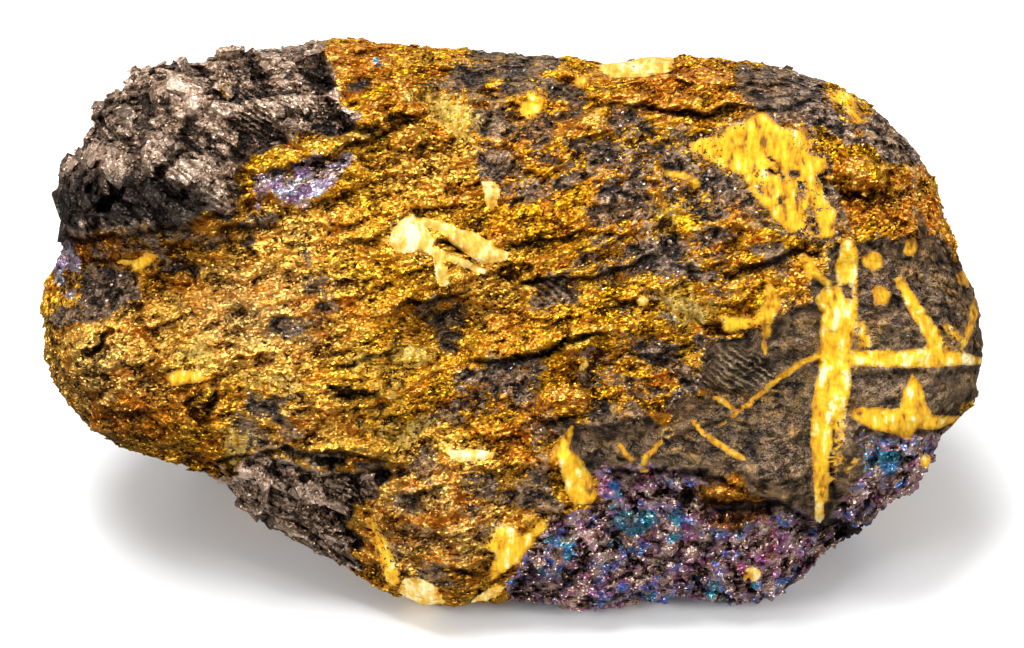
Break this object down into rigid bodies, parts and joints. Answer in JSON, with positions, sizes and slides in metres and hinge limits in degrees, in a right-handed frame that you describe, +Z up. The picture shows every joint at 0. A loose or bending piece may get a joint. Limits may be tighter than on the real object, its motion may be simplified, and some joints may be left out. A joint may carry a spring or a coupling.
{
  "type": "chalcopyrite",
  "caption": "Palm-sized rough lump of chalcopyrite ore, golden and iridescent, with dark sulphide and yellow calcite veins, resting on a flat break.",
  "frame": {"origin": "under the middle of the lump, on the flat break that it rests on", "axes": "+X along the lump's length to the right, +Y away from the foot of its broad face, +Z up"},
  "size_m": [0.0998, 0.0592, 0.0511],
  "materials": {
    "chalcopyrite_ore": "rough broken sulphide: brassy metallic gold, brown and purple tarnish, matte dark patches, yellow calcite"
  },
  "bodies": {
    "root": {"ore_lump": "chalcopyrite_ore"}
  },
  "joints": []
}
